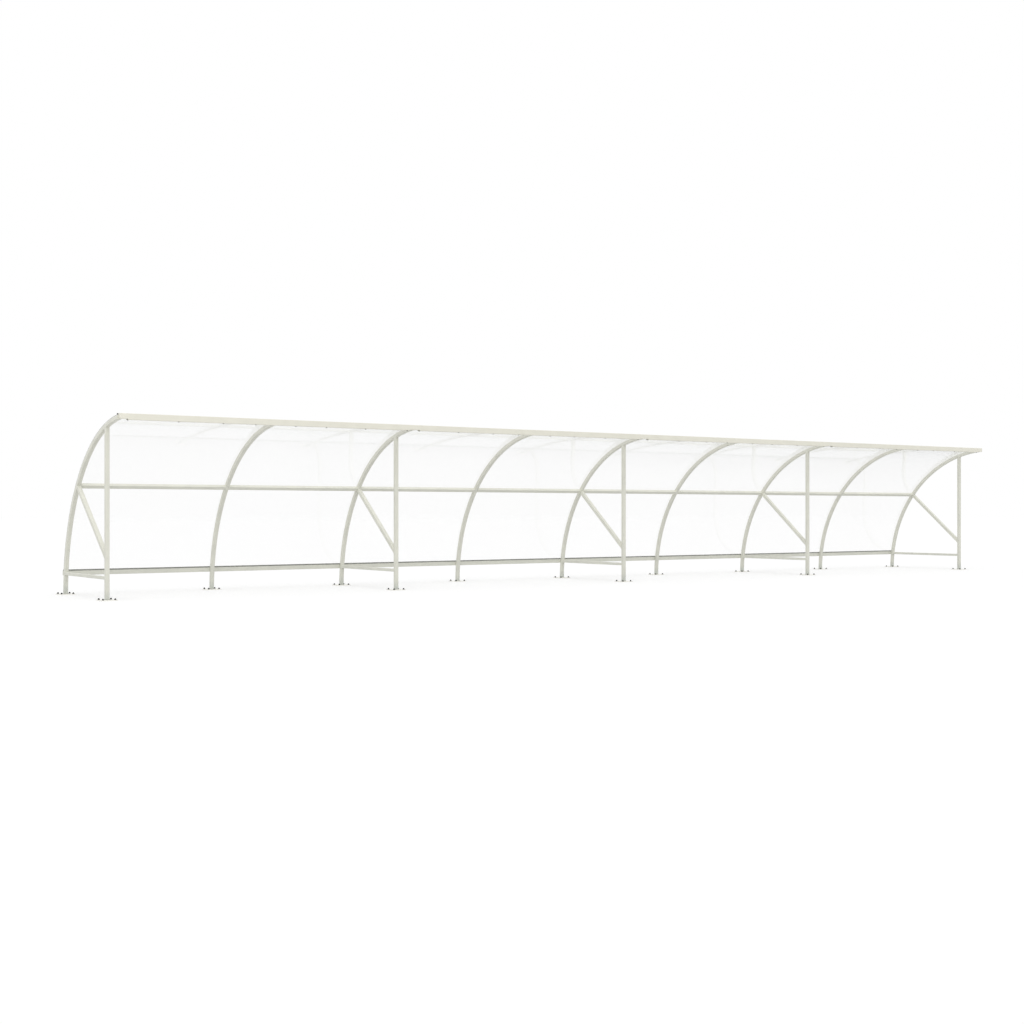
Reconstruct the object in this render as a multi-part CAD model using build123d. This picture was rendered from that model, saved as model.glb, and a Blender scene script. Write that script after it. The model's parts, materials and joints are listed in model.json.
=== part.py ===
from build123d import *
from math import asin, cos, degrees, sin, sqrt
import os

# Bike shelter: a row of quarter-circle tube ribs on base plates, glazed with clear curved sheets.
# Millimetres. +Z is up, X runs along the row, the open front faces -Y.
# The origin is the middle of the shelter on the ground.

# The row
BAY = 2000.0                 # from one rib to the next
MODULES = 4                  # lengths of rail and eave that are joined end to end
BAYS_PER_MODULE = 2          # the posts stand where modules meet

# Square tube of the ribs, the posts, the braces and the middle rail
TUBE = 50.0
TUBE_WALL = 3.0
BEND_RADIUS = 2174.0         # of a rib's centre line
MID_RAIL_HEIGHT = 1391.0     # ground to the middle rail's centre
BRACE_FOOT_HEIGHT = 532.0    # ground to where the brace's line meets the post

# Square tube of the side rails
SIDE_TUBE = 40.0
SIDE_WALL = 3.0
SIDE_RAIL_HEIGHT = 270.0     # ground to the rail's centre

# Low rail along the back, on the outside of the ribs
LOW_RAIL_TALL = 60.0
LOW_RAIL_DEEP = 30.0
LOW_RAIL_WALL = 3.0
LOW_RAIL_HEIGHT = 275.0      # ground to the rail's centre

# Eave along the front ends of the ribs
EAVE_TALL = 75.0
EAVE_DEEP = 60.0
EAVE_WALL = 3.0
EAVE_SHORTFALL = 129.0       # the eave's front stops this far short of a full quarter circle
EAVE_DROP = 6.2              # its underside is this far below the ribs' underside
EAVE_END_INSET = 10.0        # it stops this far inside the end ribs' outer sides
CONNECTOR_LENGTH = 160.0     # the piece between two lengths of eave, at each post frame
CONNECTOR_RISE = 9.0         # its underside is this far above the eave's

POST_BEHIND_EAVE = 489.0     # the eave's front face to the post's centre

CORNER_WALLS = 1.7           # outside corner radius of the tubes, counted in their walls

# Base plates
PLATE_SIDE = 200.0
PLATE_THICKNESS = 10.0
PLATE_CORNER = 8.0
BOLT_SPACING = 150.0
BOLT_HOLE = 14.0

# Clear sheets
SHEET_THICKNESS = 4.0
SHEET_SEAT = 0.3             # clearance between a sheet and the rib that it lies on
SHEET_JOINT = 4.0            # gap between two sheets, over a rib

# Rubber seals: one stands on the low rail, the other lies behind the eave
LOW_SEAL_TALL = 15.0
LOW_SEAL_DEEP = 16.0
LOW_SEAL_LEDGE = 8.0         # the sheets' lower edge stands on this
SEAL_CLEARANCE = 0.3
EAVE_SEAL_DEEP = 22.0
EAVE_SEAL_RISE = 3.0         # above the top of the eave
EAVE_SEAL_ROUND = 6.0
EAVE_SEAL_INSET = 22.0       # it stops this far inside the end ribs' outer sides

# Radii about the ribs' centre of curvature
RIB_INNER = BEND_RADIUS - TUBE / 2
RIB_OUTER = BEND_RADIUS + TUBE / 2
SHEET_INNER = RIB_OUTER + SHEET_SEAT
SHEET_OUTER = SHEET_INNER + SHEET_THICKNESS

# Depths: the rear line passes through the feet of the ribs, and is placed so that the shelter is
# centred between the back of the rear plates and the front of the eave
EAVE_REACH = BEND_RADIUS - EAVE_SHORTFALL
REAR_Y = (EAVE_REACH - PLATE_SIDE / 2) / 2
EAVE_FRONT_Y = REAR_Y - EAVE_REACH
EAVE_REAR_Y = EAVE_FRONT_Y + EAVE_DEEP
POST_Y = EAVE_FRONT_Y + POST_BEHIND_EAVE
POST_REAR_FACE_Y = POST_Y + TUBE / 2
CENTRE_Y = REAR_Y - BEND_RADIUS
CENTRE_Z = PLATE_THICKNESS

# Places along the row
BAYS = MODULES * BAYS_PER_MODULE
RIB_X = [(i - BAYS / 2) * BAY for i in range(BAYS + 1)]
FRAME_X = RIB_X[::BAYS_PER_MODULE]
ROW_END_X = RIB_X[-1] + TUBE / 2

# Angles about the centre of curvature, counted up from the level line to the rear foot
LOW_RAIL_ANGLE = asin((LOW_RAIL_HEIGHT - CENTRE_Z) / RIB_OUTER)
MID_RAIL_ANGLE = asin((MID_RAIL_HEIGHT - CENTRE_Z) / BEND_RADIUS)


def height_on_arc(radius, y):
    """Height of the arc of that radius, at one depth."""
    return CENTRE_Z + sqrt(radius ** 2 - (y - CENTRE_Y) ** 2)


EAVE_BOTTOM_Z = height_on_arc(RIB_INNER, EAVE_REAR_Y) - EAVE_DROP
EAVE_TOP_Z = EAVE_BOTTOM_Z + EAVE_TALL


def disc(radius):
    """A full disc about the centre of curvature, as a cross-section in Y and Z."""
    return Pos(CENTRE_Y, CENTRE_Z) * Circle(radius)


def window(y_from, y_to, z_from, z_to):
    """A rectangle between two depths and two heights, as a cross-section in Y and Z."""
    centre = Pos((y_from + y_to) / 2, (z_from + z_to) / 2)
    return centre * Rectangle(abs(y_to - y_from), abs(z_to - z_from))


def on_arc(radius, angle):
    """A place on an arc: its first axis points outwards and its second one up along the arc."""
    place = Pos(CENTRE_Y + radius * cos(angle), CENTRE_Z + radius * sin(angle))
    return place * Rot(0, 0, degrees(angle))


def hollow(width, height, wall):
    """Cross-section of a rectangular tube with rounded corners."""
    corner = CORNER_WALLS * wall
    bore = RectangleRounded(width - 2 * wall, height - 2 * wall, corner - wall)
    return RectangleRounded(width, height, corner) - bore


def along_row(section, x_from, x_to):
    """A bar of one cross-section, drawn in Y and Z, between two places along the row."""
    return extrude(Plane.YZ.offset(x_from) * section, amount=x_to - x_from)


def quarter_band(inner, outer):
    """Cross-section between two radii, from the level of the base plates to the eave."""
    return (disc(outer) - disc(inner)) & window(EAVE_REAR_Y, REAR_Y + TUBE, CENTRE_Z, CENTRE_Z + outer)


def under_rib(x):
    """The space inside the curve of one rib, wide enough to trim what butts against it."""
    return along_row(disc(RIB_INNER), x - TUBE, x + TUBE)


def make_rib(x):
    """A square tube bent to a quarter circle, open at its ends and cut square to meet the eave."""
    foot = Pos(x, REAR_Y, CENTRE_Z) * hollow(TUBE, TUBE, TUBE_WALL)
    bent = revolve(foot, Axis((x, CENTRE_Y, CENTRE_Z), (1, 0, 0)), revolution_arc=90)
    behind_eave = window(EAVE_REAR_Y, REAR_Y + TUBE, CENTRE_Z, CENTRE_Z + RIB_OUTER + TUBE)
    return bent & along_row(behind_eave, x - TUBE, x + TUBE)


def make_post(x):
    """A square tube from its base plate up to the underside of the rib."""
    foot = Plane(origin=(x, POST_Y, PLATE_THICKNESS))
    return extrude(foot * hollow(TUBE, TUBE, TUBE_WALL), amount=RIB_INNER) & under_rib(x)


def make_side_rail(x):
    """A level square tube from the post back to the rib, narrower than both."""
    at_post = Plane(origin=(x, POST_REAR_FACE_Y, SIDE_RAIL_HEIGHT), x_dir=(1, 0, 0), z_dir=(0, 1, 0))
    tube = extrude(at_post * hollow(SIDE_TUBE, SIDE_TUBE, SIDE_WALL), amount=REAR_Y - POST_REAR_FACE_Y)
    return tube & under_rib(x)


def make_brace(x):
    """A square tube that slopes from the rib, level with the middle rail, down to the post."""
    head = Vector(
        x,
        CENTRE_Y + BEND_RADIUS * cos(MID_RAIL_ANGLE),
        CENTRE_Z + BEND_RADIUS * sin(MID_RAIL_ANGLE),
    )
    foot = Vector(x, POST_REAR_FACE_Y, BRACE_FOOT_HEIGHT)
    line = foot - head
    at_head = Plane(origin=head, x_dir=(1, 0, 0), z_dir=line)
    tube = extrude(at_head * hollow(TUBE, TUBE, TUBE_WALL), amount=line.length + TUBE)
    behind_post = along_row(
        window(POST_REAR_FACE_Y, REAR_Y, CENTRE_Z, CENTRE_Z + RIB_INNER), x - TUBE, x + TUBE
    )
    return tube & under_rib(x) & behind_post


def make_mid_rails(module):
    """The tubes of one module that run between its ribs, turned to follow the curve."""
    section = on_arc(BEND_RADIUS, MID_RAIL_ANGLE) * hollow(TUBE, TUBE, TUBE_WALL)
    first = module * BAYS_PER_MODULE
    return [
        along_row(section, RIB_X[i] + TUBE / 2, RIB_X[i + 1] - TUBE / 2)
        for i in range(first, first + BAYS_PER_MODULE)
    ]


def module_ends(module):
    """Where one module's full-length pieces start and stop: flush with the row's end ribs."""
    x_from = -ROW_END_X if module == 0 else FRAME_X[module]
    x_to = ROW_END_X if module == MODULES - 1 else FRAME_X[module + 1]
    return x_from, x_to


def make_low_rail(module):
    """A rectangular tube on the ribs' outer face, in line with it."""
    on_ribs = on_arc(RIB_OUTER, LOW_RAIL_ANGLE) * Pos(LOW_RAIL_DEEP / 2, 0)
    section = on_ribs * hollow(LOW_RAIL_DEEP, LOW_RAIL_TALL, LOW_RAIL_WALL)
    x_from, x_to = module_ends(module)
    return along_row(section, x_from, x_to)


def eave_section(underside_rise):
    """Cross-section of the eave's tube, or of the connector with its raised underside."""
    tall = EAVE_TALL - underside_rise
    centre = Pos((EAVE_FRONT_Y + EAVE_REAR_Y) / 2, EAVE_TOP_Z - tall / 2)
    return centre * hollow(EAVE_DEEP, tall, EAVE_WALL)


def make_eave(module):
    """The rectangular tube across one module's rib ends, between two connectors."""
    x_from = FRAME_X[module] + CONNECTOR_LENGTH / 2
    x_to = FRAME_X[module + 1] - CONNECTOR_LENGTH / 2
    return along_row(eave_section(0), x_from, x_to)


def make_eave_connector(x):
    """The short tube between two lengths of eave, or beyond the last one at an end of the row."""
    row_end = ROW_END_X - EAVE_END_INSET
    x_from = max(x - CONNECTOR_LENGTH / 2, -row_end)
    x_to = min(x + CONNECTOR_LENGTH / 2, row_end)
    return along_row(eave_section(CONNECTOR_RISE), x_from, x_to)


def make_sheet(bay):
    """A clear sheet bent over two ribs, from the low seal to the back of the eave."""
    above_seal = on_arc(RIB_OUTER, LOW_RAIL_ANGLE) * Pos(0, LOW_RAIL_TALL / 2 + LOW_SEAL_LEDGE + RIB_OUTER)
    section = quarter_band(SHEET_INNER, SHEET_OUTER) & (above_seal * Rectangle(4 * RIB_OUTER, 2 * RIB_OUTER))
    x_from = -ROW_END_X if bay == 0 else RIB_X[bay] + SHEET_JOINT / 2
    x_to = ROW_END_X if bay == BAYS - 1 else RIB_X[bay + 1] - SHEET_JOINT / 2
    return along_row(section, x_from, x_to)


def make_low_seal():
    """The seal on the low rail: a ledge under the sheets' edge and a lip behind it."""
    lip = SHEET_SEAT + SHEET_THICKNESS + SEAL_CLEARANCE
    outline = Polyline(
        (0, 0),
        (LOW_SEAL_DEEP, 0),
        (LOW_SEAL_DEEP, LOW_SEAL_TALL),
        (lip, LOW_SEAL_TALL),
        (lip, LOW_SEAL_LEDGE),
        (0, LOW_SEAL_LEDGE),
        close=True,
    )
    on_rail = on_arc(RIB_OUTER, LOW_RAIL_ANGLE) * Pos(0, LOW_RAIL_TALL / 2)
    return along_row(on_rail * make_face(outline), -ROW_END_X, ROW_END_X)


def make_eave_seal():
    """The seal behind the eave, lying on the sheets, with its upper edges rounded."""
    bar = window(EAVE_REAR_Y, EAVE_REAR_Y + EAVE_SEAL_DEEP, EAVE_BOTTOM_Z, EAVE_TOP_Z + EAVE_SEAL_RISE)
    upper_edges = bar.vertices().group_by(Axis.Y)[-1]
    section = fillet(upper_edges, EAVE_SEAL_ROUND) - disc(SHEET_OUTER + SEAL_CLEARANCE)
    row_end = ROW_END_X - EAVE_SEAL_INSET
    return along_row(section, -row_end, row_end)


def make_base_plate(x, y):
    """A square plate with a bolt hole near each corner."""
    outline = fillet(Rectangle(PLATE_SIDE, PLATE_SIDE).vertices(), PLATE_CORNER)
    holes = GridLocations(BOLT_SPACING, BOLT_SPACING, 2, 2) * Circle(BOLT_HOLE / 2)
    return extrude(Pos(x, y) * (outline - holes), amount=PLATE_THICKNESS)


def save(node, pieces):
    """Writes the solids of one node."""
    solids = [solid for piece in pieces for solid in piece.solids()]
    shape = solids[0] if len(solids) == 1 else Compound(solids)
    export_step(shape, f"parts/{node}.step")


os.makedirs("parts", exist_ok=True)

for number, x in enumerate(RIB_X, start=1):
    save(f"rib_{number}", [make_rib(x)])

for number, x in enumerate(FRAME_X, start=1):
    save(f"post_{number}", [make_post(x)])
    save(f"brace_{number}", [make_brace(x)])

for module in range(MODULES):
    save(f"mid_rail_{module + 1}", make_mid_rails(module))
    save(f"low_rail_{module + 1}", [make_low_rail(module)])
    save(f"eave_{module + 1}", [make_eave(module)])

for bay in range(BAYS):
    save(f"roof_sheet_{bay + 1}", [make_sheet(bay)])

save("side_rails", [make_side_rail(x) for x in FRAME_X])
save("eave_connectors", [make_eave_connector(x) for x in FRAME_X])
save("sheet_seals", [make_low_seal(), make_eave_seal()])
save(
    "base_plates",
    [make_base_plate(x, REAR_Y) for x in RIB_X] + [make_base_plate(x, POST_Y) for x in FRAME_X],
)
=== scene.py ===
"""Looks of a bike shelter: finishes for its packed tubes and sheets, and the fixings, welds and caps on them.

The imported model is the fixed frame. Metres, +Z up, X along the row, and the open front faces -Y.
"""

import json
import logging
import math
from dataclasses import dataclass
from enum import Enum
from typing import Callable, Sequence

import bmesh
import bpy
from mathutils import Matrix, Vector


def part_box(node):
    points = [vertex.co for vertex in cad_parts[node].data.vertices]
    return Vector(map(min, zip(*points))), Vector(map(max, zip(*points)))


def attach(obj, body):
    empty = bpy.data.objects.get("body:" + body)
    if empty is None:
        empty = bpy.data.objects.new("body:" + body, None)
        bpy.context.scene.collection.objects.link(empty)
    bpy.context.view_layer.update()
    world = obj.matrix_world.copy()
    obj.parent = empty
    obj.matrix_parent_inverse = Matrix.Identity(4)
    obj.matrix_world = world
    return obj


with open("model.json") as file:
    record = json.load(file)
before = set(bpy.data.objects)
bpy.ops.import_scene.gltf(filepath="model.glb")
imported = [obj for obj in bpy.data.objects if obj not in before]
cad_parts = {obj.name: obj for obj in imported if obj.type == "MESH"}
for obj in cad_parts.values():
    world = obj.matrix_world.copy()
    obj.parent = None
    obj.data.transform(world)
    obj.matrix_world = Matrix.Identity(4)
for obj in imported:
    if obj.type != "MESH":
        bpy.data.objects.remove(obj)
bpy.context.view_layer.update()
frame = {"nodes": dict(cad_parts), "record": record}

LOG = logging.getLogger("shelter")
MM = 0.001
ROOT = "root"
RIBS, FRAMES = 9, 5  # a post frame stands at every second rib
TOLERANCE = 0.01 * MM  # for corners modelled on the same level
NEAR = 1 * MM  # for corners of packed tubes that meet a face
LEVEL = 0.9  # least share of a level face's normal along Z
SHADE_ANGLE = math.radians(35)
CORNER_STEPS = 4
CAP_CORNER = 4.5 * MM
UP = Vector((0, 0, 1))
ALONG_ROW = Vector((1, 0, 0))
BACKWARDS = Vector((0, 1, 0))
Object, Material, Socket = bpy.types.Object, bpy.types.Material, bpy.types.NodeSocket
Pair = tuple[float, float]
Places = Sequence[Matrix]


class Slot(Enum):
    """The record's material slots whose finishes some added pieces also wear."""

    FRAME = "frame_coat"
    EAVE = "eave_coat"


class Part(Enum):
    """What of a mesh is picked in edit mode."""

    EDGES = "EDGE"
    FACES = "FACE"


# Materials


def linear(hex_colour: str) -> tuple[float, float, float, float]:
    """Turns an sRGB hex colour into a linear one.

    Args:
        hex_colour: six hex digits, such as "e4e2d5".

    Returns:
        Linear red, green, blue and an alpha of 1.
    """
    shares = [int(hex_colour[i : i + 2], 16) / 255 for i in (0, 2, 4)]
    return (*(s / 12.92 if s <= 0.04045 else ((s + 0.055) / 1.055) ** 2.4 for s in shares), 1.0)


def add_node(tree: bpy.types.NodeTree, kind: str, settings: dict) -> bpy.types.Node:
    """Adds one shader node and sets it up.

    Args:
        tree: the node tree it joins.
        kind: the node's type name, without "ShaderNode".
        settings: by property name, or by the name or number of an input. A socket is linked, and any other
            value is set.

    Returns:
        The new node.
    """
    node = tree.nodes.new("ShaderNode" + kind)
    for name, value in settings.items():
        if isinstance(value, Socket):
            tree.links.new(value, node.inputs[name])
        elif isinstance(name, int) or name in node.inputs:
            node.inputs[name].default_value = value
        else:
            setattr(node, name, value)
    return node


class Recipe:
    """A new material, with the steps that the finishes share.

    Attributes:
        material: the material.
        tree: its node tree.
        place: the object's own coordinates, in metres.
    """

    def __init__(self, name: str) -> None:
        """Starts an empty material of this name."""
        self.material = bpy.data.materials.new(name)
        self.material.use_nodes = True
        self.tree = self.material.node_tree
        self.tree.nodes.clear()
        self.place = self.add("TexCoord", {}).outputs["Object"]

    def add(self, kind: str, settings: dict) -> bpy.types.Node:
        """Adds one node to this material, as add_node does."""
        return add_node(self.tree, kind, settings)

    def noise(self, size: float, detail: float) -> Socket:
        """An even pattern from 0 to 1, with patches this wide and this many finer layers."""
        return self.add("TexNoise", {"Scale": 1 / size, "Detail": detail, "Vector": self.place}).outputs["Fac"]

    def ranged(self, value: Socket, to: Pair, start: Pair = (0.0, 1.0), kind: str = "LINEAR") -> Socket:
        """A value turned from its starting range to another, which it doesn't leave."""
        settings = {"From Min": start[0], "From Max": start[1], "To Min": to[0], "To Max": to[1]}
        return self.add("MapRange", {"interpolation_type": kind, "Value": value, **settings}).outputs["Result"]

    def math(self, operation: str, *values: Socket | float) -> Socket:
        """The result of one operation on values."""
        return self.add("Math", {"operation": operation, **dict(enumerate(values))}).outputs[0]

    def blend(self, share: Socket, under: str | Socket, over: str) -> Socket:
        """One colour with a share of another over it, each as sRGB hex, or the lower one as a socket."""
        lower = linear(under) if isinstance(under, str) else under
        return self.add("Mix", {"data_type": "RGBA", 0: share, 6: lower, 7: linear(over)}).outputs[2]

    def bump(self, height: Socket, strength: float, depth: float) -> Socket:
        """The normal over small bumps of this pattern, strength and depth."""
        return self.add("Bump", {"Strength": strength, "Distance": depth, "Height": height}).outputs["Normal"]

    def skin(self, colour: Socket, roughness: Socket, normal: Socket, **others: float) -> Socket:
        """The shader of a surface, with any other inputs by name, where _ is a space."""
        settings = {name.replace("_", " "): value for name, value in others.items()}
        looks = {"Base Color": colour, "Roughness": roughness, "Normal": normal}
        return self.add("BsdfPrincipled", settings | looks).outputs["BSDF"]

    def finish(self, shader: Socket) -> Material:
        """Puts the shader on the surface and returns the material."""
        self.add("OutputMaterial", {"Surface": shader})
        return self.material


@dataclass(frozen=True)
class PowderCoat:
    """Polyester powder coat: sprayed dry on galvanised steel and stoved.

    It flows into a satin skin with a fine orange peel, a little thinner and duller in places. Over a weld
    it follows the bead's ripples. Towards the floor and up to the low rail it is painted greyer and darker,
    in the colour of dust: this is painted shade.

    Attributes:
        name: the material's name.
        colour: sRGB hex of the coat.
        thin_colour: sRGB hex where the coat is thinner.
        roughness: mean roughness of the satin skin.
        bump_size: width of the bumps in its skin, in metres.
        bump_depth: height of those bumps, in metres.
        ground_shade: how much of the coat the painted shade, grey like dust, hides at the ground.
        film: how much of it a weaker painted shade, grey like dust, hides up to the low rail.
    """

    name: str
    colour: str
    thin_colour: str
    roughness: float = 0.42
    bump_size: float = 2.5 * MM  # real orange peel is about 1 mm, drawn coarser so that it can show
    bump_depth: float = 0.03 * MM
    ground_shade: float = 0.0
    film: float = 0.0

    BUMP_STRENGTH = 0.5
    SKIN_IOR = 1.5
    CLOUD_SIZE = 180 * MM
    THIN_RANGE = (0.35, 0.65)  # of the clouds
    DULL_RANGE = (0.3, 0.7)
    DULLER = 0.05  # in roughness, either way
    # painted shade towards the floor and the low rail: its dust-grey colour, how much duller it makes the coat, and
    # how uneven it is
    GROUND_SHADE_COLOUR = "bcc0ba"
    GROUND_SHADE_DULLS = 0.25
    GROUND_SHADE_UNEVEN = (0.6, 1.4)
    GROUND_SHADE_HEIGHTS = (15 * MM, 170 * MM)  # full below the first, gone above the second
    RAIL_SHADE_HEIGHTS = (300 * MM, 420 * MM)

    def _painted_ground_shade(self, recipe: Recipe, clouds: Socket) -> Socket:
        """How much of the coat the painted shade towards the floor and the low rail hides, grey like dust.

        Args:
            recipe: the material.
            clouds: the pattern that breaks up the painted shade.

        Returns:
            The painted shade's share.
        """
        height = recipe.add("SeparateXYZ", {0: recipe.place}).outputs["Z"]
        ground_shade, film = (
            recipe.ranged(height, (most, 0.0), heights, "SMOOTHSTEP")
            for most, heights in ((self.ground_shade, self.GROUND_SHADE_HEIGHTS), (self.film, self.RAIL_SHADE_HEIGHTS))
        )
        uneven = recipe.ranged(clouds, self.GROUND_SHADE_UNEVEN)
        return recipe.math("MULTIPLY", recipe.math("MAXIMUM", ground_shade, film), uneven)

    def make(self) -> Material:
        """Builds the material and returns it."""
        recipe = Recipe(self.name)
        clouds = recipe.noise(self.CLOUD_SIZE, 3.0)
        peel = recipe.noise(self.bump_size, 1.0)
        coat = recipe.blend(recipe.ranged(clouds, (0.0, 1.0), self.THIN_RANGE), self.colour, self.thin_colour)
        clean = recipe.ranged(clouds, (self.roughness - self.DULLER, self.roughness + self.DULLER), self.DULL_RANGE)
        # painted shade towards the floor and the low rail, grey like dust
        dust = self._painted_ground_shade(recipe, clouds)
        colour = recipe.blend(dust, coat, self.GROUND_SHADE_COLOUR)
        roughness = recipe.math("MULTIPLY_ADD", dust, self.GROUND_SHADE_DULLS, clean)
        normal = recipe.bump(peel, self.BUMP_STRENGTH, self.bump_depth)
        return recipe.finish(recipe.skin(colour, roughness, normal, IOR=self.SKIN_IOR))


@dataclass(frozen=True)
class ClearSheet:
    """Solid polycarbonate sheet: extruded between polished rollers, so clear and glossy.

    It is faintly wavy from the rollers, with a thin film of dust in places, and lets lamp light through. Seen
    at a slant it is a little greyer, because the eye then looks through more of it.

    Attributes:
        name: the material's name.
        tint: sRGB hex of what the eye sees straight through it.
        slant_tint: sRGB hex of what it sees through it at a low slant.
        lamp_tint: sRGB hex of what lamp light keeps.
        ior: polycarbonate's is 1.585, and a lower one mirrors as little as the thin sheet does here.
    """

    name: str
    tint: str = "fefefe"
    slant_tint: str = "f3f4f4"
    lamp_tint: str = "fefefe"
    ior: float = 1.42

    WAVE_SIZE = 220 * MM
    WAVE_DEPTH = 0.10 * MM
    WAVE_STRENGTH = 0.3
    DUST_SIZE = 90 * MM
    HAZE = (0.02, 0.09)  # roughness of the clean and the dusty sheet
    SLANT_RANGE = (0.5, 0.9)  # of Layer Weight's Facing

    def make(self) -> Material:
        """Builds the material and returns it."""
        recipe = Recipe(self.name)
        normal = recipe.bump(recipe.noise(self.WAVE_SIZE, 0.0), self.WAVE_STRENGTH, self.WAVE_DEPTH)
        haze = recipe.ranged(recipe.noise(self.DUST_SIZE, 3.0), self.HAZE)
        facing = recipe.add("LayerWeight", {"Normal": normal}).outputs["Facing"]
        tone = recipe.blend(recipe.ranged(facing, (0.0, 1.0), self.SLANT_RANGE), self.tint, self.slant_tint)
        shader = recipe.skin(tone, haze, normal, IOR=self.ior, Transmission_Weight=1.0)
        open_air = recipe.add("BsdfTransparent", {"Color": linear(self.lamp_tint)}).outputs["BSDF"]
        rays = recipe.add("LightPath", {})
        for kind in ("Is Shadow Ray", "Is Diffuse Ray"):
            mix = recipe.add("MixShader", {0: rays.outputs[kind], 1: shader, 2: open_air})
            shader = mix.outputs["Shader"]
        return recipe.finish(shader)


@dataclass(frozen=True)
class SealRubber:
    """EPDM rubber: extruded and cured, dull, with fine dust in its pores.

    Attributes:
        name: the material's name.
        colour: sRGB hex of the clean rubber.
        dusty_colour: sRGB hex where dust sits in its pores.
    """

    name: str
    colour: str
    dusty_colour: str

    PORE_SIZE = 1.5 * MM
    PORE_DEPTH = 0.05 * MM
    PORE_STRENGTH = 0.4
    DUST_SIZE = 60 * MM
    ROUGHNESS = (0.62, 0.82)

    def make(self) -> Material:
        """Builds the material and returns it."""
        recipe = Recipe(self.name)
        pores = recipe.noise(self.PORE_SIZE, 2.0)
        colour = recipe.blend(recipe.noise(self.DUST_SIZE, 4.0), self.colour, self.dusty_colour)
        normal = recipe.bump(pores, self.PORE_STRENGTH, self.PORE_DEPTH)
        return recipe.finish(recipe.skin(colour, recipe.ranged(pores, self.ROUGHNESS), normal))


@dataclass(frozen=True)
class FixingSteel:
    """Steel of the bolts and screws: cold-headed, with rolled threads, then blackened or left bright.

    The heads keep a faint grain from the die, and the blackened ones a slightly uneven film.

    Attributes:
        name: the material's name.
        colour: sRGB hex of the bare or blackened metal.
        worn_colour: sRGB hex where the film is thin.
        roughness: mean roughness.
    """

    name: str
    colour: str
    worn_colour: str
    roughness: float

    PATCH_SIZE = 9 * MM
    DULLER = 0.08  # in roughness, either way
    GRAIN_SIZE = 0.8 * MM
    GRAIN_DEPTH = 0.02 * MM
    GRAIN_STRENGTH = 0.4

    def make(self) -> Material:
        """Builds the material and returns it."""
        recipe = Recipe(self.name)
        patches = recipe.noise(self.PATCH_SIZE, 3.0)
        colour = recipe.blend(patches, self.colour, self.worn_colour)
        roughness = recipe.ranged(patches, (self.roughness - self.DULLER, self.roughness + self.DULLER))
        normal = recipe.bump(recipe.noise(self.GRAIN_SIZE, 2.0), self.GRAIN_STRENGTH, self.GRAIN_DEPTH)
        return recipe.finish(recipe.skin(colour, roughness, normal, Metallic=1.0))


@dataclass(frozen=True)
class StudioFloor:
    """Matt pale paper floor, lifted so that it is seen as the white background.

    Attributes:
        name: the material's name.
        paper: sRGB hex of the paper.
        lift: light added where the floor is looked at, straight or through a clear sheet.
    """

    name: str = "studio_floor"
    paper: str = "d8d8d8"
    lift: float = 0.255

    def make(self) -> Material:
        """Builds the material and returns it."""
        recipe = Recipe(self.name)
        rays = recipe.add("LightPath", {})
        looked_at = recipe.math("MAXIMUM", rays.outputs["Is Camera Ray"], rays.outputs["Is Transmission Ray"])
        glow = recipe.add("Emission", {"Strength": recipe.ranged(looked_at, (0.0, self.lift))})
        paper = recipe.add("BsdfDiffuse", {"Color": linear(self.paper)})
        both = recipe.add("AddShader", {0: paper.outputs["BSDF"], 1: glow.outputs["Emission"]})
        return recipe.finish(both.outputs["Shader"])


# The modelling bench


def deselect() -> None:
    """Leaves nothing selected, so that the next primitive is worked on alone."""
    if bpy.context.object is not None and bpy.context.object.mode != "OBJECT":
        bpy.ops.object.mode_set(mode="OBJECT")
    bpy.ops.object.select_all(action="DESELECT")


def take(pieces: Sequence[Object]) -> Object:
    """Selects only these pieces and makes the first one active.

    Args:
        pieces: the pieces to work on.

    Returns:
        The first piece.
    """
    deselect()
    for piece in pieces:
        piece.select_set(True)
    bpy.context.view_layer.objects.active = pieces[0]
    return pieces[0]


def pick(part: Part, wanted: Callable[[Vector, bmesh.types.BMEdge | bmesh.types.BMFace], bool]) -> None:
    """Selects, in edit mode, the edges or faces that pass a test, and nothing else.

    Args:
        part: edges or faces.
        wanted: takes an element's middle and the element, and says whether it is picked.
    """
    bpy.ops.mesh.select_mode(type=part.value)
    bpy.ops.mesh.select_all(action="DESELECT")
    mesh = bmesh.from_edit_mesh(bpy.context.object.data)
    for element in mesh.edges if part is Part.EDGES else mesh.faces:
        middle = sum((v.co for v in element.verts), Vector()) / len(element.verts)
        element.select_set(wanted(middle, element))
    mesh.select_flush_mode()
    bmesh.update_edit_mesh(bpy.context.object.data)


def swell(factor: float) -> None:
    """Grows or shrinks the picked elements in X and Y about the origin, by this factor."""
    bpy.ops.transform.resize(value=(factor, factor, 1), center_override=(0, 0, 0))


def push(distance: float) -> None:
    """Extrudes the picked face along Z."""
    bpy.ops.mesh.extrude_region_move(TRANSFORM_OT_translate={"value": (0, 0, distance)})


def open_up(size: Sequence[float] = (1, 1, 1)) -> Object:
    """Brings the new primitive to its size and enters edit mode, ready to be shaped.

    Args:
        size: its size along each axis, as a share of what it is.

    Returns:
        The primitive.
    """
    primitive = bpy.context.object
    primitive.scale = size
    bpy.ops.object.transform_apply()
    bpy.ops.object.mode_set(mode="EDIT")
    return primitive


def new_cylinder(radius: float, low: float, high: float, sides: int) -> Object:
    """Adds a cylinder about Z and enters edit mode, ready to be shaped.

    Args:
        radius: corner radius.
        low: height of its lower face.
        high: height of its upper face.
        sides: number of sides.

    Returns:
        The cylinder.
    """
    deselect()
    middle = (0, 0, (low + high) / 2)
    bpy.ops.mesh.primitive_cylinder_add(vertices=sides, radius=radius, depth=high - low, location=middle)
    return open_up()


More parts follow.
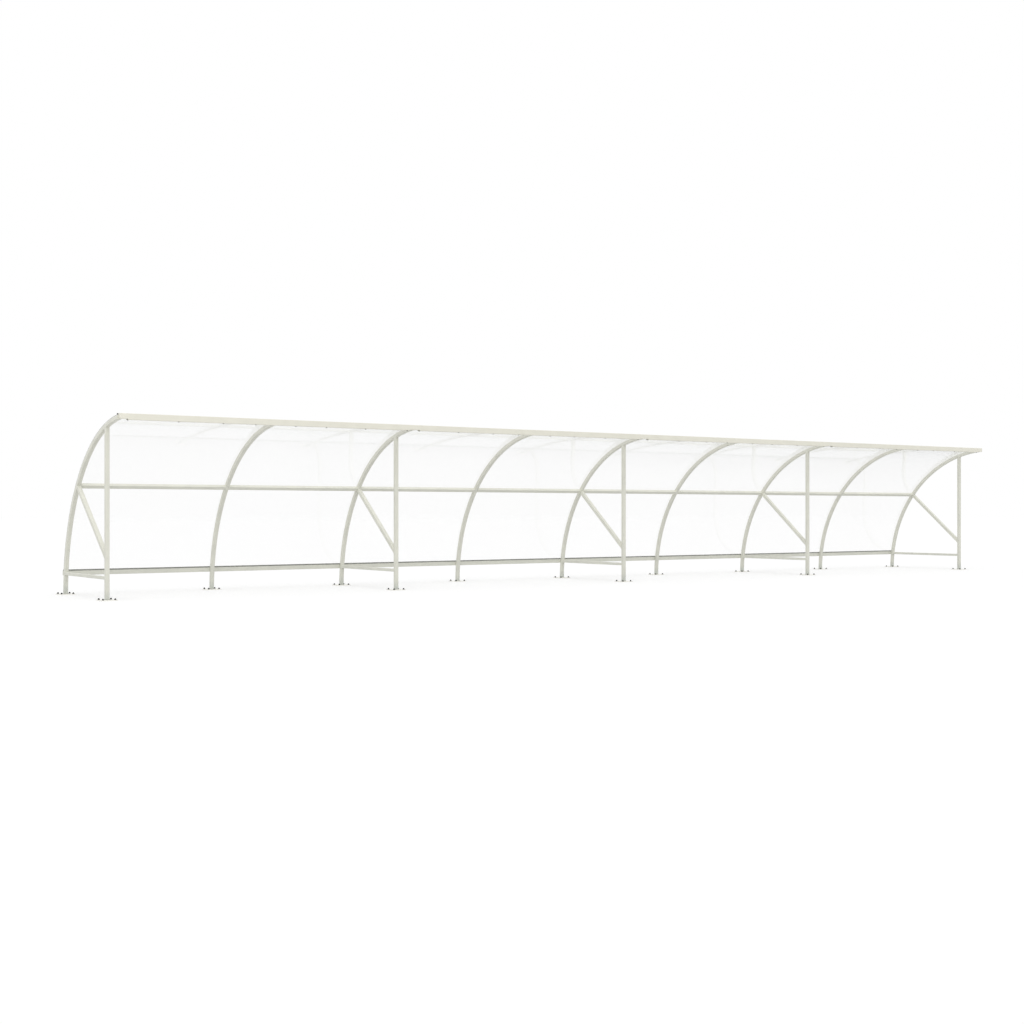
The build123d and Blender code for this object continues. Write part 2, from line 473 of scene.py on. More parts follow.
def round_rim(height: float, width: float, steps: int = 1) -> None:
    """Bevels the edges of the rim at one height, this wide and in this many steps."""
    pick(Part.EDGES, lambda middle, edge: all(abs(v.co.z - height) < TOLERANCE for v in edge.verts))
    bpy.ops.mesh.bevel(offset=width, offset_type="OFFSET", segments=steps, profile=0.5)


def pick_top(height: float) -> None:
    """Picks the level face at one height."""
    pick(Part.FACES, lambda middle, face: abs(middle.z - height) < TOLERANCE and face.normal.z > LEVEL)


def join(pieces: Sequence[Object], name: str) -> Object:
    """Joins pieces into one mesh, shades it and names it.

    Args:
        pieces: the pieces.
        name: the joined piece's name.

    Returns:
        The joined piece.
    """
    piece = take(pieces)
    if len(pieces) > 1:
        bpy.ops.object.join()
    bpy.ops.object.shade_smooth_by_angle(angle=SHADE_ANGLE)
    piece.name = name
    piece.data.name = name
    return piece


def standing(point: Vector, out: Vector, across: Vector = ALONG_ROW) -> Matrix:
    """The place of a copy that stands on a surface.

    Args:
        point: where its origin goes.
        out: where its Z axis points.
        across: where its X axis points.

    Returns:
        The matrix that puts it there.
    """
    along = out.cross(across).normalized()
    turn = Matrix((across.normalized(), along, out.normalized())).transposed()
    return Matrix.Translation(point) @ turn.to_4x4()


def put_away(master: Object) -> None:
    """Deletes a piece that only helped to make others."""
    take([master])
    bpy.ops.object.delete()


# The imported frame's own lines


def corners_of(node: str) -> list[Vector]:
    """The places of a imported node's corners."""
    return [vertex.co for vertex in frame["nodes"][node].data.vertices]


@dataclass(frozen=True)
class FrameLines:
    """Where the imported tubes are, read from the frame.

    Attributes:
        rib_x: the ribs' middles along the row.
        frame_x: the middles of the ribs that stand behind posts.
        rear_y: depth of the ribs' feet.
        post_y: depth of the posts' middles.
        plate_top: height of the base plates' upper faces, where every tube starts.
        centre_y: depth of the ribs' centre of curvature.
        outer_radius: of the ribs' outer faces about that centre.
        tube: width of the ribs' and posts' square tube.
    """

    rib_x: tuple[float, ...]
    frame_x: tuple[float, ...]
    rear_y: float
    post_y: float
    plate_top: float
    centre_y: float
    outer_radius: float
    tube: float

    @classmethod
    def read(cls) -> "FrameLines":
        """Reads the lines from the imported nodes' boxes."""
        ribs = [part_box(f"rib_{i}") for i in range(1, RIBS + 1)]
        posts = [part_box(f"post_{i}") for i in range(1, FRAMES + 1)]
        low, high = ribs[0]
        reach, rise = high.y - low.y, high.z - low.z
        outer_radius = (rise**2 + reach**2) / (2 * reach)
        tube = high.x - low.x
        return cls(
            rib_x=tuple((a.x + b.x) / 2 for a, b in ribs),
            frame_x=tuple((a.x + b.x) / 2 for a, b in posts),
            rear_y=high.y - tube / 2,
            post_y=(posts[0][0].y + posts[0][1].y) / 2,
            plate_top=low.z,
            centre_y=high.y - outer_radius,
            outer_radius=outer_radius,
            tube=tube,
        )

    @property
    def inner_radius(self) -> float:
        """Radius of the ribs' inner faces."""
        return self.outer_radius - self.tube

    @staticmethod
    def outwards(angle: float) -> Vector:
        """Points away from the centre of curvature, at an angle above the level line to the rear."""
        return Vector((0, math.cos(angle), math.sin(angle)))

    def on_arc(self, x: float, radius: float, angle: float) -> Vector:
        """A place on an arc about the ribs' centre of curvature."""
        return Vector((x, self.centre_y, self.plate_top)) + radius * self.outwards(angle)

    def angle_at(self, point: Vector) -> float:
        """The angle at which a point is seen from the centre of curvature."""
        return math.atan2(point.z - self.plate_top, point.y - self.centre_y)

    def radius_at(self, point: Vector) -> float:
        """How far a point is from the centre of curvature."""
        return math.hypot(point.y - self.centre_y, point.z - self.plate_top)

    def angle_of(self, node: str) -> float:
        """The angle at which a node's middle is seen from there."""
        low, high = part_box(node)
        return self.angle_at((low + high) / 2)

    def spread(self, node: str, way: Vector) -> Pair:
        """How near and how far a node's corners lie along one way, from the centre of curvature.

        Args:
            node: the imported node.
            way: a direction across the row, of length one.

        Returns:
            The least and the greatest distance.
        """
        centre = Vector((0, self.centre_y, self.plate_top))
        away = [(corner - centre).dot(way) for corner in corners_of(node)]
        return min(away), max(away)


def middle_of(node: str, wanted: Callable[[Vector], bool]) -> Vector:
    """The middle of the box of a node's corners that pass a test.

    Args:
        node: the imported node.
        wanted: takes a corner's place and says whether it counts.

    Returns:
        The middle.
    """
    corners = [corner for corner in corners_of(node) if wanted(corner)]
    low, high = (Vector([end(c[i] for c in corners) for i in range(3)]) for end in (min, max))
    return (low + high) / 2


# Fixings


class Model:
    """A small piece that is modelled once, standing on the origin, and copied to its places."""

    def make(self, name: str) -> Object:
        """Builds the piece, gives it this name and returns it."""
        raise NotImplementedError

    def set_out(self, pieces: dict[str, Places], finish: Material, slot: Slot | None = None) -> None:
        """Joins copies of the model, each with its own mesh, into finished pieces on the frame.

        Args:
            pieces: the places of the copies, by the piece's name.
            finish: their material.
            slot: the record's slot of that finish, if it has one; not used.
        """
        master = self.make("master")
        for name, places in pieces.items():
            copies = []
            for place in places:
                take([master])
                bpy.ops.object.duplicate(linked=False)
                copies.append(bpy.context.object)
                copies[-1].matrix_world = place
            take(copies)
            bpy.ops.object.transform_apply()
            piece = join(copies, name)
            piece.data.materials.append(finish)
            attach(piece, ROOT)
            LOG.info("%s: %d copies, %d faces", name, len(places), len(piece.data.polygons))
        put_away(master)


@dataclass
class HexFixing(Model):
    """A hexagon nut on a washer, with the chamfered end of its bolt standing out of it.

    Attributes:
        thread: the bolt's diameter.
        across_flats: the nut's width over its flats.
        nut_tall: the nut's height.
        washer_wide: the washer's diameter.
        washer_tall: the washer's thickness.
        stands_out: how far the bolt stands out of the nut.
        pitch: the thread's pitch.
    """

    thread: float
    across_flats: float
    nut_tall: float
    washer_wide: float
    washer_tall: float
    stands_out: float
    pitch: float

    ROUND_SIDES = 24
    BOLT_SIDES = 16
    OVERLAP = 1 * MM
    BLANK_SPARE = 0.05 * MM  # the turned blank's radius over the nut's corners
    NUT_CHAMFER = 1.44 * MM
    TIP_CHAMFER = 0.9 * MM
    THREAD_ROOT = 0.9  # of the bolt's width
    TIP = 0.8

    def _washer(self) -> Object:
        """A flat ring with its upper rim rounded."""
        washer = new_cylinder(self.washer_wide / 2, 0, self.washer_tall, self.ROUND_SIDES)
        round_rim(self.washer_tall, self.washer_tall / 4)
        return washer

    def _nut(self) -> Object:
        """A hexagon whose corners are turned off above by a round chamfer."""
        low, high = self.washer_tall, self.washer_tall + self.nut_tall
        corner = self.across_flats / math.sqrt(3)
        blank = new_cylinder(corner + self.BLANK_SPARE, low - self.OVERLAP, high, self.ROUND_SIDES)
        round_rim(high, self.NUT_CHAMFER)
        nut = new_cylinder(corner, low, high, 6)
        take([nut])
        bpy.ops.object.modifier_add(type="BOOLEAN")
        cut = nut.modifiers[-1]
        cut.operation = "INTERSECT"
        cut.solver = "EXACT"
        cut.object = blank
        bpy.ops.object.modifier_apply(modifier=cut.name)
        put_away(blank)
        return nut

    def _bolt_end(self) -> Object:
        """The bolt's end: rolled rings of thread and a chamfered tip."""
        start = self.washer_tall + self.nut_tall - self.OVERLAP
        end = new_cylinder(self.thread / 2, start - self.OVERLAP, start, self.BOLT_SIDES)
        pick_top(start)
        for _ in range(round(self.stands_out / self.pitch)):
            push(self.pitch / 2)
            swell(self.THREAD_ROOT)
            push(self.pitch / 2)
            swell(1 / self.THREAD_ROOT)
        push(self.TIP_CHAMFER)
        swell(self.TIP)
        return end

    def make(self, name: str) -> Object:
        """Builds the washer, the nut and the bolt's end."""
        return join([self._washer(), self._nut(), self._bolt_end()], name)


@dataclass
class DomeScrew(Model):
    """A dome-headed screw with a round drive recess, on a sealing washer with a soft rim.

    Attributes:
        head_wide: the head's diameter.
        head_tall: the head's height.
        washer_wide: the sealing washer's diameter.
        washer_tall: its thickness.
    """

    head_wide: float
    head_tall: float
    washer_wide: float
    washer_tall: float

    SIDES = 16
    SOFT_RIM = 0.45  # of the washer's thickness
    SUNK = 0.5
    DOME = 0.7  # of the head's height
    RECESS_DEPTH = 0.55
    RECESS_RIM = 0.06  # of the head's width
    FLAT_TOP = 0.672  # of what the dome leaves of it

    def make(self, name: str) -> Object:
        """Builds the washer and the head."""
        washer = new_cylinder(self.washer_wide / 2, 0, self.washer_tall, self.SIDES)
        round_rim(self.washer_tall, self.washer_tall * self.SOFT_RIM, 2)
        top = self.washer_tall + self.head_tall
        head = new_cylinder(self.head_wide / 2, self.washer_tall * self.SUNK, top, self.SIDES)
        round_rim(top, self.head_tall * self.DOME, 3)
        pick_top(top)
        swell(self.FLAT_TOP)
        bpy.ops.mesh.inset(thickness=self.head_wide * self.RECESS_RIM)
        push(-self.head_tall * self.RECESS_DEPTH)
        return join([head, washer], name)


@dataclass
class WeldRing(Model):
    """A fillet weld that runs around a square tube where it meets a flat face.

    It stands on the origin's level plane with the tube coming up through it.

    Attributes:
        width: the tube's size along X.
        depth: the tube's size along Y, longer where it leaves the face at a slant.
        leg: the bead's width and height.
        flush: true where the face is no wider than the tube along X, so that only the beads along X are left.
    """

    width: float
    depth: float
    leg: float
    flush: bool = False

    TUBE_CORNER = 5.1 * MM
    CROWN = 0.6 * MM
    SINK = 0.2 * MM
    TRIM = 2 * MM

    def make(self, name: str) -> Object:
        """Builds the bead."""
        deselect()
        bpy.ops.mesh.primitive_plane_add(size=1)
        ring = open_up((self.width + 2 * self.leg, self.depth + 2 * self.leg, 1))
        bpy.ops.mesh.select_all(action="SELECT")
        bpy.ops.mesh.bevel(offset=self.TUBE_CORNER + self.leg, affect="VERTICES", segments=CORNER_STEPS)
        pick(Part.FACES, lambda middle, face: True)
        bpy.ops.mesh.inset(thickness=self.leg + self.SINK)
        bpy.ops.mesh.delete(type="ONLY_FACE")
        reach_x, reach_y = self.width / 2 + TOLERANCE, self.depth / 2 + TOLERANCE
        pick(
            Part.EDGES,
            lambda middle, edge: edge.is_boundary and abs(middle.x) < reach_x and abs(middle.y) < reach_y,
        )
        bpy.ops.mesh.extrude_edges_move(TRANSFORM_OT_translate={"value": (0, 0, self.leg)})
        pick(Part.EDGES, lambda middle, edge: edge.is_boundary)
        bpy.ops.mesh.bridge_edge_loops(number_cuts=2)
        low, high = 10 * TOLERANCE, self.leg - 10 * TOLERANCE
        pick(Part.EDGES, lambda middle, edge: all(low < v.co.z < high for v in edge.verts))
        swell(1 + 2 * self.CROWN / self.width)
        for side in (-1, 1) if self.flush else ():
            bpy.ops.mesh.select_all(action="SELECT")
            bpy.ops.mesh.bisect(
                plane_co=(side * (self.width / 2 - self.TRIM), 0, 0), plane_no=(side, 0, 0),
                use_fill=True, clear_outer=True
            )
        bpy.ops.mesh.select_all(action="SELECT")
        bpy.ops.mesh.normals_make_consistent(inside=False)
        return join([ring], name)


@dataclass
class TubeCap(Model):
    """A pressed cap that closes a rectangular tube's end, seated on its rim.

    It lies on the origin's level plane, with its outer face up.

    Attributes:
        width: the tube's size along X.
        depth: the tube's size along Y.
        corner: its corner radius.
        plug_wall: how far in from the tube's outside its skirt starts.
        thickness: of the part that shows.
    """

    width: float
    depth: float
    corner: float
    plug_wall: float = 3.4 * MM
    thickness: float = 2.0 * MM

    EDGE = 0.7 * MM
    SKIRT = 12 * MM
    SKIRT_WALL = 1.5 * MM
    SKIRT_FLOOR = 1 * MM

    def make(self, name: str) -> Object:
        """Builds the cap and its skirt."""
        deselect()
        bpy.ops.mesh.primitive_cube_add(size=1, location=(0, 0, self.thickness / 2))
        cap = open_up((self.width, self.depth, self.thickness))
        pick(Part.EDGES, lambda middle, edge: abs(edge.verts[0].co.z - edge.verts[1].co.z) > self.thickness / 2)
        bpy.ops.mesh.bevel(offset=self.corner, segments=CORNER_STEPS)
        round_rim(self.thickness, self.EDGE, 2)
        pick(Part.FACES, lambda middle, face: face.normal.z < -LEVEL)
        bpy.ops.mesh.inset(thickness=self.plug_wall)
        push(-self.SKIRT)
        bpy.ops.mesh.inset(thickness=self.SKIRT_WALL)
        push(self.SKIRT - self.SKIRT_FLOOR)
        return join([cap], name)


@dataclass
class RoundPlug(Model):
    """A round plug whose outer rim is rounded.

    Attributes:
        radius: its radius.
        tall: how far it stands out.
    """

    radius: float
    tall: float

    SIDES = 24
    RIM = 1.5 * MM

    def make(self, name: str) -> Object:
        """Builds the plug."""
        plug = new_cylinder(self.radius, 0, self.tall, self.SIDES)
        round_rim(self.tall, self.RIM, 3)
        return join([plug], name)


@dataclass
class AnchorBolts:
    """The dark anchor nuts at the corners of every base plate, and the welds around the tubes' feet, whose
    dark grey is painted shade where the tubes meet the plates.

    Attributes:
        spacing: between two bolts of a plate, as in the record's bolt patterns.
    """

    lines: FrameLines
    steel: Material
    weld_painted_shade: Material
    spacing: float = 150 * MM

    WELD_LEG = 7 * MM

    def _corners(self, x: float, y: float) -> list[Matrix]:
        """The places of one plate's four bolts."""
        half = self.spacing / 2
        return [
            standing(Vector((x + side * half, y + end * half, self.lines.plate_top)), UP)
            for side in (-1, 1)
            for end in (-1, 1)
        ]

    def build(self) -> None:
        """Makes the bolts and the foot welds of the ribs' and the posts' plates."""
        lines = self.lines
        m12 = HexFixing(thread=12 * MM, across_flats=19 * MM, nut_tall=10.8 * MM, washer_wide=30 * MM,
                        washer_tall=3 * MM, stands_out=5.5 * MM, pitch=1.75 * MM)
        bolts, feet = {}, []
        for kind, across, y in (("rib", lines.rib_x, lines.rear_y), ("post", lines.frame_x, lines.post_y)):
            for number, x in enumerate(across, start=1):
                bolts[f"{kind}_anchor_bolts_{number}"] = self._corners(x, y)
                feet.append(standing(Vector((x, y, lines.plate_top)), UP))
        m12.set_out(bolts, self.steel)
        # the foot welds' dark grey is painted shade at the tubes' feet
        WeldRing(lines.tube, lines.tube, self.WELD_LEG).set_out({"foot_welds": feet}, self.weld_painted_shade)


@dataclass
class FrameWelds:
    """The welds where posts, braces and rails meet the ribs and the posts."""

    lines: FrameLines
    coat: Material

    SLANT_LEG = 4 * MM
    SIDE_RAIL_LEG = 2.5 * MM
    MID_RAIL_LEG = 3 * MM

    def _lay(self, name: str, bead: WeldRing, places: Places) -> None:
        """Lays one bead at its places, as a piece of this name."""
        bead.set_out({name: places}, self.coat, Slot.FRAME)

    def _against_rib(self, node: str) -> tuple[Vector, Vector]:
        """The middle of a tube's end on a rib's inner face, and the way out of that face."""
        lines, radius = self.lines, self.lines.inner_radius
        middle = middle_of(node, lambda corner: abs(lines.radius_at(corner) - radius) < NEAR)
        angle = lines.angle_at(middle)
        return lines.on_arc(middle.x, radius, angle), -lines.outwards(angle)

    def _post_tops(self) -> None:
        """The welds between the posts and the ribs above them."""
        tube = self.lines.tube
        tops = [self._against_rib(f"post_{i}") for i in range(1, FRAMES + 1)]
        slant = abs(tops[0][1].z)
        bead = WeldRing(tube, tube / slant, self.SLANT_LEG, flush=True)
        self._lay("post_top_welds", bead, [standing(point, out) for point, out in tops])

    def _braces(self) -> None:
        """The welds at both ends of the braces."""
        tube = self.lines.tube
        heads = [self._against_rib(f"brace_{i}") for i in range(1, FRAMES + 1)]
        face_y = self.lines.post_y + tube / 2
        feet = []
        for number in range(1, FRAMES + 1):
            foot = middle_of(f"brace_{number}", lambda corner: abs(corner.y - face_y) < NEAR / 2)
            feet.append(Vector((foot.x, face_y, foot.z)))
        slope = (heads[0][0] - feet[0]).normalized()
        lean_at_head = abs(slope.dot(heads[0][1]))
        bead = WeldRing(tube, tube / lean_at_head, self.SLANT_LEG, flush=True)
        self._lay("brace_head_welds", bead, [standing(point, out) for point, out in heads])
        bead = WeldRing(tube, tube / abs(slope.y), self.SLANT_LEG, flush=True)
        self._lay("brace_foot_welds", bead, [standing(point, BACKWARDS) for point in feet])

    def _side_rails(self) -> None:
        """The welds at both ends of the side rails."""
        lines = self.lines
        low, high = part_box("side_rails")
        height = (low.z + high.z) / 2
        narrow = high.z - low.z
        angle = math.asin((height - lines.plate_top) / lines.inner_radius)
        face_y = lines.post_y + lines.tube / 2
        at_posts = [standing(Vector((x, face_y, height)), BACKWARDS) for x in lines.frame_x]
        at_ribs = [
            standing(lines.on_arc(x, lines.inner_radius, angle), -lines.outwards(angle)) for x in lines.frame_x
        ]
        self._lay("side_rail_welds", WeldRing(narrow, narrow, self.SIDE_RAIL_LEG), at_posts + at_ribs)

    def _mid_rails(self) -> None:
        """The welds at both ends of each length of the middle rail."""
        lines = self.lines
        angle = lines.angle_of("mid_rail_1")
        radius = lines.outer_radius - lines.tube / 2
        places = []
        for left, right in zip(lines.rib_x, lines.rib_x[1:]):
            for x, out in ((left + lines.tube / 2, ALONG_ROW), (right - lines.tube / 2, -ALONG_ROW)):
                places.append(standing(lines.on_arc(x, radius, angle), out, lines.outwards(angle)))
        self._lay("mid_rail_welds", WeldRing(lines.tube, lines.tube, self.MID_RAIL_LEG, flush=True), places)

    def build(self) -> None:
        """Makes all these welds."""
        self._post_tops()
        self._braces()
        self._side_rails()
        self._mid_rails()


@dataclass
class EaveFixings:
    """The screws under the eave, and what closes the row's ends: caps, rib inserts and the seal's round plugs.

    Attributes:
        joint_screw: from a post frame's middle to the screw beside the eave's joint.
        bay_screws: from a module's middle rib to its other screws.
        screw_depth: from the eave's front back to the screws' line.
    """

    lines: FrameLines
    steel: Material
    coat: Material
    black_rubber: Material
    joint_screw: float = 93 * MM
    bay_screws: tuple[float, ...] = (274 * MM, 707 * MM, 1279 * MM)
    screw_depth: float = 40 * MM

    PLUG_RADIUS = 7 * MM
    PLUG_TALL = 24 * MM
    PLUG_BEHIND = 10 * MM
    PLUG_DROP = 2 * MM
    RIB_WALL = 3.2 * MM  # with the insert's clearance
    INSERT_TALL = 2 * MM
    INSERT_CORNER = 2 * MM
    INSERT_WALL = 1.5 * MM

    def _screws(self) -> None:
        """The screws in the eave's underside, one piece for each of its lengths."""
        pieces = {}
        for number in range(1, FRAMES):
            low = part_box(f"eave_{number}")[0]
            ends = self.lines.frame_x[number - 1 : number + 1]
            across = [ends[0] + self.joint_screw, ends[1] - self.joint_screw]
            across += [sum(ends) / 2 + side * offset for offset in self.bay_screws for side in (-1, 1)]
            pieces[f"eave_screws_{number}"] = [
                standing(Vector((x, low.y + self.screw_depth, low.z)), -UP) for x in sorted(across)
            ]
        screw = DomeScrew(head_wide=13 * MM, head_tall=6.5 * MM, washer_wide=17 * MM, washer_tall=1.8 * MM)
        screw.set_out(pieces, self.steel)

    def _end_caps(self) -> None:
        """The caps that close the eave at both ends of the row."""
        low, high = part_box("eave_connectors")
        middle = (low + high) / 2
        ends = ((low.x, -ALONG_ROW), (high.x, ALONG_ROW))
        places = [standing(Vector((x, middle.y, middle.z)), way, UP) for x, way in ends]
        TubeCap(high.z - low.z, high.y - low.y, CAP_CORNER).set_out({"eave_end_caps": places}, self.coat, Slot.EAVE)

    def _seal_plugs(self) -> None:
        """The round black plugs on the ends of the seal behind the eave."""
        eave_low, eave_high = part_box("eave_1")
        seal = [corner for corner in corners_of("sheet_seals") if corner.z > eave_low.z]
        reach = max(corner.x for corner in seal)
        height = max(corner.z for corner in seal) - self.PLUG_DROP - self.PLUG_RADIUS
        places = [
            standing(Vector((side * reach, eave_high.y + self.PLUG_BEHIND, height)), side * ALONG_ROW, UP)
            for side in (-1, 1)
        ]
        RoundPlug(self.PLUG_RADIUS, self.PLUG_TALL).set_out({"seal_end_plugs": places}, self.black_rubber)

    def _rib_inserts(self) -> None:
        """The inserts in the end ribs' upper ends, which show beside the ends of the eave."""
        lines = self.lines
        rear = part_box("eave_1")[1].y
        radius = lines.outer_radius - lines.tube / 2
        angle = math.acos((rear - lines.centre_y) / radius)
        bore = lines.tube - 2 * self.RIB_WALL
        insert = TubeCap(bore, bore, self.INSERT_CORNER, self.INSERT_WALL, self.INSERT_TALL)
        places = [
            standing(lines.on_arc(x, radius, angle) + self.INSERT_TALL * BACKWARDS, -BACKWARDS)
            for x in (lines.rib_x[0], lines.rib_x[-1])
        ]
        insert.set_out({"rib_end_inserts": places}, self.coat, Slot.EAVE)

    def build(self) -> None:
        """Makes the screws, the caps, the plugs and the inserts."""
        self._screws()
        self._end_caps()
        self._seal_plugs()
        self._rib_inserts()


@dataclass
class SheetFixings:
    """The screws that hold the clear sheets on the ribs' outer faces.

    Attributes:
        pitch: the most that two screws are apart along a rib.
        beside_joint: from a rib's middle to the row of screws in each sheet's edge.
        clear_of_ends: from a sheet's lower or upper edge to its first screw.
    """

    lines: FrameLines
    steel: Material
    pitch: float = 320 * MM
    beside_joint: float = 13.5 * MM
    clear_of_ends: float = 70 * MM

    def build(self) -> None:
        """Makes one piece of screws for each rib."""
        lines = self.lines
        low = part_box("roof_sheet_1")[0]
        surface = max(lines.radius_at(corner) for corner in corners_of("roof_sheet_1"))
        first = math.asin((low.z - lines.plate_top) / surface) + self.clear_of_ends / surface
        last = math.acos((low.y - lines.centre_y) / surface) - self.clear_of_ends / surface
        steps = math.ceil((last - first) * surface / self.pitch)
        angles = [first + (last - first) * step / steps for step in range(steps + 1)]
        pieces = {}
        for number, x in enumerate(lines.rib_x, start=1):
            rows = (x,) if number in (1, RIBS) else (x - self.beside_joint, x + self.beside_joint)
            pieces[f"sheet_screws_{number}"] = [
                standing(lines.on_arc(row, surface, angle), lines.outwards(angle)) for row in rows for angle in angles
            ]
        screw = DomeScrew(head_wide=9 * MM, head_tall=3.6 * MM, washer_wide=15 * MM, washer_tall=2.4 * MM)
        screw.set_out(pieces, self.steel)


@dataclass
class LowRailFixings:
    """The bolts that hold the low rail on the ribs, and the caps on its ends.

    Attributes:
        beside_joint: from a post frame's middle to the bolt in each rail's end.
    """

    lines: FrameLines
    steel: Material
    coat: Material
    beside_joint: float = 14 * MM

    def build(self) -> None:
        """Makes the bolts on the back of the rail and its end caps."""
        lines = self.lines
        angle = lines.angle_of("low_rail_1")
        face = lines.spread("low_rail_1", lines.outwards(angle))[1]
        across = []
        for x in lines.rib_x:
            at_joint = x in lines.frame_x[1:-1]
            across += [x - self.beside_joint, x + self.beside_joint] if at_joint else [x]
        places = [standing(lines.on_arc(x, face, angle), lines.outwards(angle)) for x in across]
        m8 = HexFixing(thread=8 * MM, across_flats=13 * MM, nut_tall=6.8 * MM, washer_wide=16 * MM,
                       washer_tall=1.6 * MM, stands_out=3 * MM, pitch=1.25 * MM)
        m8.set_out({"low_rail_bolts": places}, self.steel)
        self._end_caps(angle, face)

    def _end_caps(self, angle: float, face: float) -> None:
        """The caps that close the rail at both ends of the row."""
        lines = self.lines
        deep = face - lines.outer_radius
        lower, upper = lines.spread("low_rail_1", lines.outwards(angle + math.pi / 2))
        out = lines.outwards(angle)
        ends = ((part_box("low_rail_1")[0].x, -ALONG_ROW), (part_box("low_rail_4")[1].x, ALONG_ROW))
        places = [standing(lines.on_arc(x, lines.outer_radius + deep / 2, angle), way, out) for x, way in ends]
        TubeCap(deep, upper - lower, CAP_CORNER).set_out({"low_rail_end_caps": places}, self.coat, Slot.FRAME)


# The studio


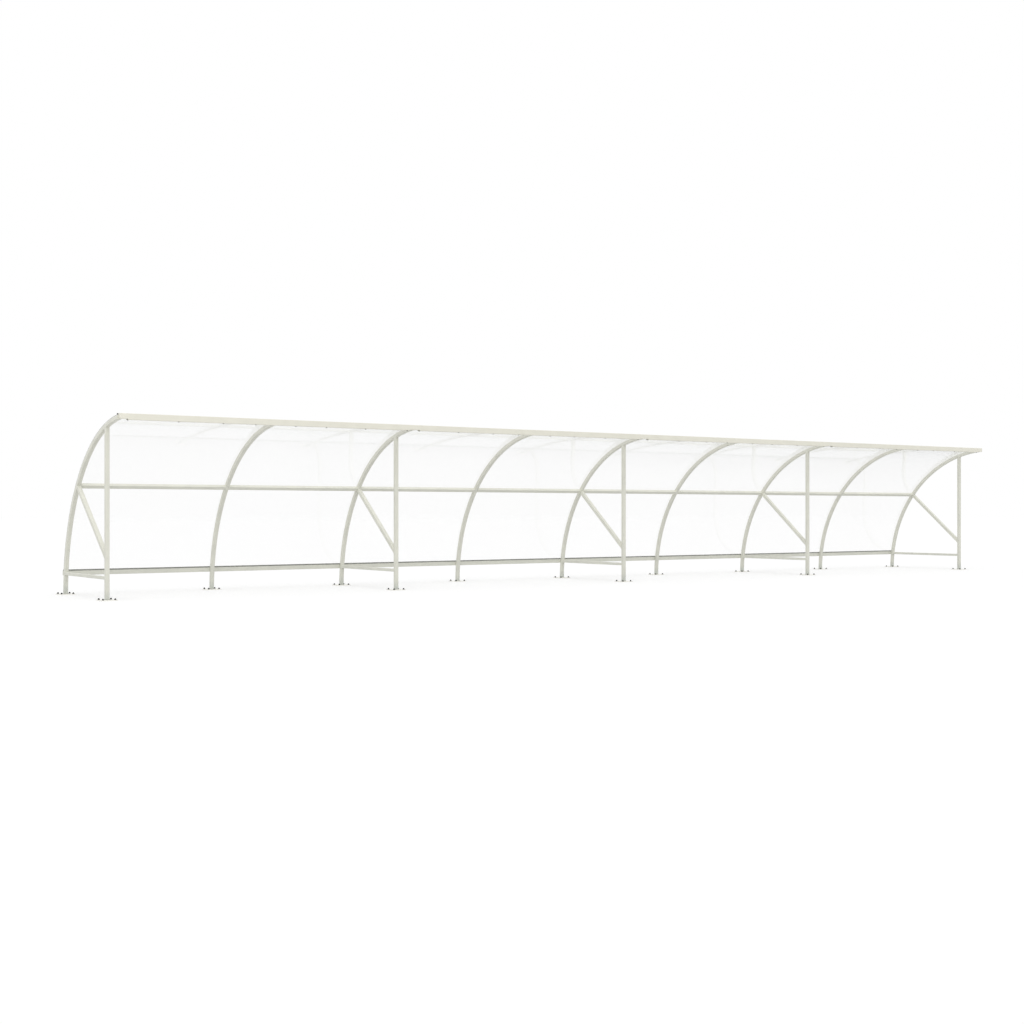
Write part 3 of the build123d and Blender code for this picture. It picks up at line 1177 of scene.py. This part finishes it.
@dataclass
class Studio:
    """White floor, soft light all round and the camera at the photograph's viewing angle.

    Attributes:
        lines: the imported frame's lines, which place the camera.
        left_of_row: how far the camera stands to the left of the first rib.
        in_front: how far it stands in front of the ribs' feet.
        eye_height: its height.
        heading_deg: how far it is turned from +Y towards +X.
        lens_mm: focal length on a 36 mm sensor.
        sky_strength: the world's light on the object, where 1 is white.
        lamp_strength: the soft lamp's light.
        lamp_tilt_deg: how far the lamp leans to the front and to the left of straight down.
        fill_watts: the small lamp's light, which falls on the row's left end.
        fill_colour: its linear colour, slightly warm.
        fill_place: that lamp's place, counted from the first rib's foot.
    """

    lines: FrameLines
    left_of_row: float = 5.821
    in_front: float = 18.276
    eye_height: float = 1.0614
    heading_deg: float = 35.09
    lens_mm: float = 50.0
    sky_strength: float = 0.82
    lamp_strength: float = 1.05
    lamp_tilt_deg: tuple[float, float] = (26.0, -19.0)
    fill_watts: float = 32.0
    fill_colour: tuple[float, float, float] = (1.0, 0.95, 0.90)
    fill_place: tuple[float, float, float] = (-3.0, -8.0, 2.0)

    FLOOR_SIZE = 400
    LAMP_SPREAD = math.radians(60)
    FILL_SIZE = 2.0
    SENSOR_MM = 36.0
    CLIP_END = 500.0

    def build(self) -> None:
        """Makes the floor, the world, the lamps and the camera."""
        self._floor()
        self._sky()
        self._lamp()
        self._fill()
        self._camera()
        bpy.context.scene.view_settings.view_transform = "Standard"

    def _floor(self) -> None:
        """A wide level plane that isn't part of the object."""
        deselect()
        bpy.ops.mesh.primitive_plane_add(size=self.FLOOR_SIZE)
        floor = bpy.context.object
        floor.name = "studio_floor"
        floor.data.materials.append(StudioFloor().make())

    def _sky(self) -> None:
        """An even white world: full white where it is seen, and a plain level of light elsewhere."""
        world = bpy.data.worlds.new("studio_sky")
        bpy.context.scene.world = world
        world.use_nodes = True
        tree = world.node_tree
        tree.nodes.clear()
        rays = add_node(tree, "LightPath", {}).outputs
        seen = rays["Is Camera Ray"]
        for other in ("Is Glossy Ray", "Is Transmission Ray"):
            seen = add_node(tree, "Math", {"operation": "MAXIMUM", 0: seen, 1: rays[other]}).outputs[0]
        strength = add_node(tree, "MapRange", {"To Min": self.sky_strength, "To Max": 1.0, "Value": seen})
        sky = add_node(tree, "Background", {"Color": (1, 1, 1, 1), "Strength": strength.outputs["Result"]})
        add_node(tree, "OutputWorld", {"Surface": sky.outputs["Background"]})

    def _lamp(self) -> None:
        """A broad soft lamp, high in front of the shelter and to its left."""
        forward, sideways = (math.radians(a) for a in self.lamp_tilt_deg)
        bpy.ops.object.light_add(type="SUN", rotation=(forward, sideways, 0))
        lamp = bpy.context.object
        lamp.name = "studio_lamp"
        lamp.data.energy = self.lamp_strength
        lamp.data.angle = self.LAMP_SPREAD

    def _fill(self) -> None:
        """A small soft lamp that lights the left end of the row a little more."""
        foot = Vector((self.lines.rib_x[0], self.lines.rear_y, 0))
        place = foot + Vector(self.fill_place)
        aim = Vector((foot.x, self.lines.post_y, self.eye_height)) - place
        bpy.ops.object.light_add(type="AREA", location=place, rotation=aim.to_track_quat("-Z", "Y").to_euler())
        lamp = bpy.context.object
        lamp.name = "studio_fill"
        lamp.data.energy = self.fill_watts
        lamp.data.color = self.fill_colour
        lamp.data.size = self.FILL_SIZE
        lamp.visible_camera = False

    def _camera(self) -> None:
        """A level camera on the photograph's line of sight."""
        eye = Vector((self.lines.rib_x[0] - self.left_of_row, self.lines.rear_y - self.in_front, self.eye_height))
        bpy.ops.object.camera_add(location=eye, rotation=(math.pi / 2, 0, -math.radians(self.heading_deg)))
        camera = bpy.context.object
        camera.data.lens = self.lens_mm
        camera.data.sensor_width = self.SENSOR_MM
        camera.data.clip_end = self.CLIP_END
        bpy.context.scene.camera = camera


def dress(finishes: dict[str, Material]) -> None:
    """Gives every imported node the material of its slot.

    Args:
        finishes: materials by the record's slot name.
    """
    slots = {row["node"]: row["material_slot"] for row in frame["record"]["subparts"]}
    for name, node in frame["nodes"].items():
        for slot in node.material_slots:
            slot.material = finishes[slots[name]]


def main() -> None:
    """Builds the classes in order and reports each piece."""
    logging.basicConfig(level=logging.INFO, format="%(name)s: %(message)s")
    lines = FrameLines.read()
    Studio(lines).build()
    # the frame coat is painted greyer and darker towards the floor and up to the low rail: painted shade
    frame_coat = PowderCoat("frame_coat", "dfdfd3", "dadacf", ground_shade=0.7, film=0.1).make()
    eave_coat = PowderCoat("eave_coat", "e8e6d9", "e4e2d5").make()
    ripples = {"bump_size": 4 * MM, "bump_depth": 0.5 * MM}
    weld_coat = PowderCoat("weld_coat", "dcddd0", "d6d7ca", roughness=0.45, **ripples).make()
    # the foot welds' dark grey is painted shade where the tubes meet their plates
    foot_weld_painted_shade = PowderCoat("foot_weld_painted_shade", "a3a49c", "92938b", roughness=0.55, **ripples).make()
    dress({
        "frame_coat": frame_coat,
        "eave_coat": eave_coat,
        "plate_coat": PowderCoat("plate_coat", "f4f3ec", "efeee7").make(),
        "clear_sheet": ClearSheet("clear_sheet").make(),
        "seal_rubber": SealRubber("seal_rubber", "83847d", "8d8e87").make(),
    })
    black_steel = FixingSteel("blackened_steel", "242423", "343331", 0.5).make()
    bright_steel = FixingSteel("stainless_steel", "b9b8b3", "a5a49f", 0.34).make()
    black_rubber = SealRubber("plug_rubber", "1c1c1b", "2b2b29").make()
    AnchorBolts(lines, black_steel, foot_weld_painted_shade).build()
    FrameWelds(lines, weld_coat).build()
    EaveFixings(lines, black_steel, eave_coat, black_rubber).build()
    SheetFixings(lines, bright_steel).build()
    LowRailFixings(lines, bright_steel, frame_coat).build()


if __name__ == "__main__":
    main()
